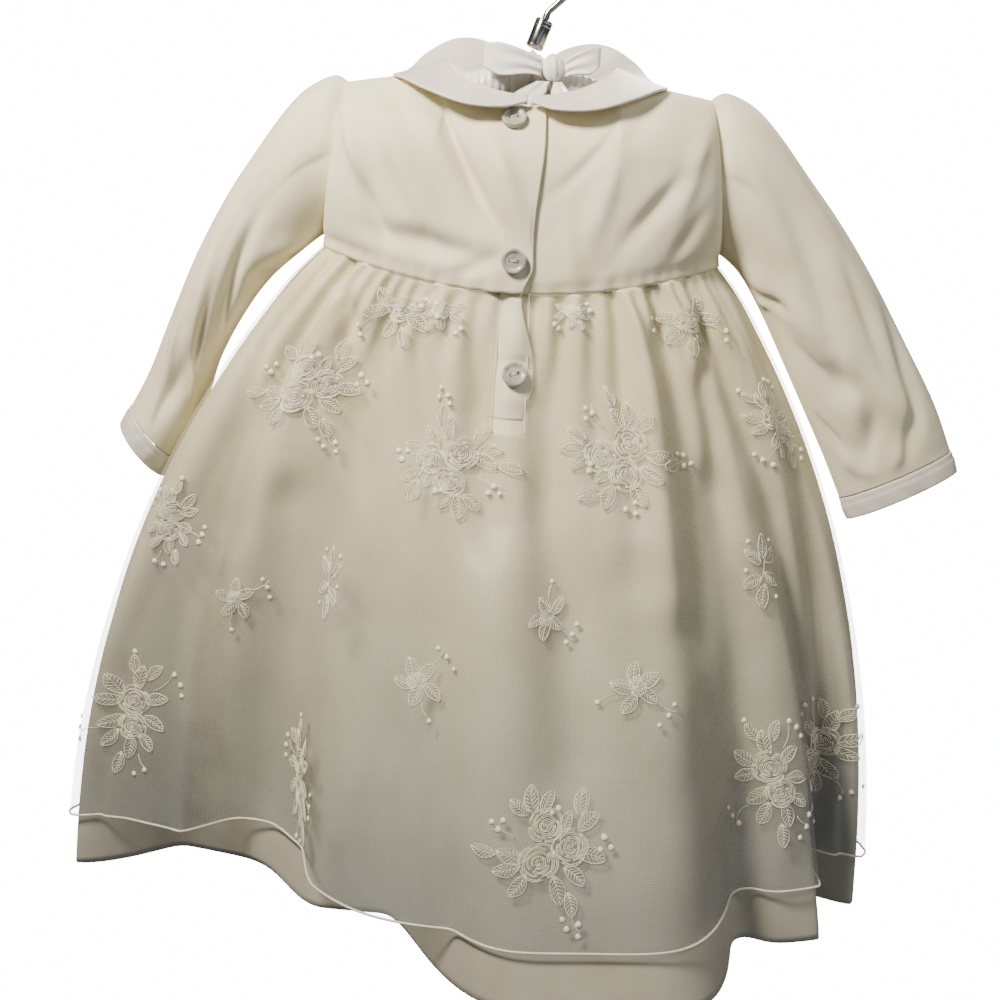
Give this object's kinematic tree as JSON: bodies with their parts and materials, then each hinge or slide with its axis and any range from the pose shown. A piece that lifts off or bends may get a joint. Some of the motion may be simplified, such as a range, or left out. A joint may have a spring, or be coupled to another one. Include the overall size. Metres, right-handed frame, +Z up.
{
  "type": "christening gown on a padded hanger",
  "caption": "Velvet christening gown with an embroidered organza overskirt, satin collar and cuffs and a buttoned back, hanging open and hollow from a padded hanger.",
  "frame": {"origin": "inside top of the hanger's hook, where a rail holds it", "axes": "+Z up along the gown's length, -Y towards the gown's buttoned back, +X towards the gown's right sleeve"},
  "size_m": [0.4381, 0.2374, 0.477],
  "materials": {
    "cotton_velvet": "soft cut pile",
    "organza": "sheer, embroidered",
    "satin": "satin",
    "satin_ribbon": "satin",
    "shell": "polished mother-of-pearl",
    "hanger_metal": "polished"
  },
  "bodies": {
    "root": {"bodice_front": "cotton_velvet", "bodice_back_left": "cotton_velvet", "bodice_back_right": "cotton_velvet", "sleeve_left": "cotton_velvet", "sleeve_right": "cotton_velvet", "underskirt_back": "cotton_velvet", "underskirt_front": "cotton_velvet", "skirt_placket": "cotton_velvet", "overskirt_back": "organza", "overskirt_front": "organza", "collar_left": "satin", "collar_right": "satin", "cuff_left": "satin", "cuff_right": "satin", "hanger_arm": "satin_ribbon", "bow_loop_left": "satin_ribbon", "bow_loop_right": "satin_ribbon", "bow_tail_left": "satin_ribbon", "bow_tail_right": "satin_ribbon", "bow_knot": "satin_ribbon", "button_1": "shell", "button_2": "shell", "button_3": "shell", "hanger_hook": "hanger_metal", "hanger_ferrule": "hanger_metal"}
  },
  "joints": []
}
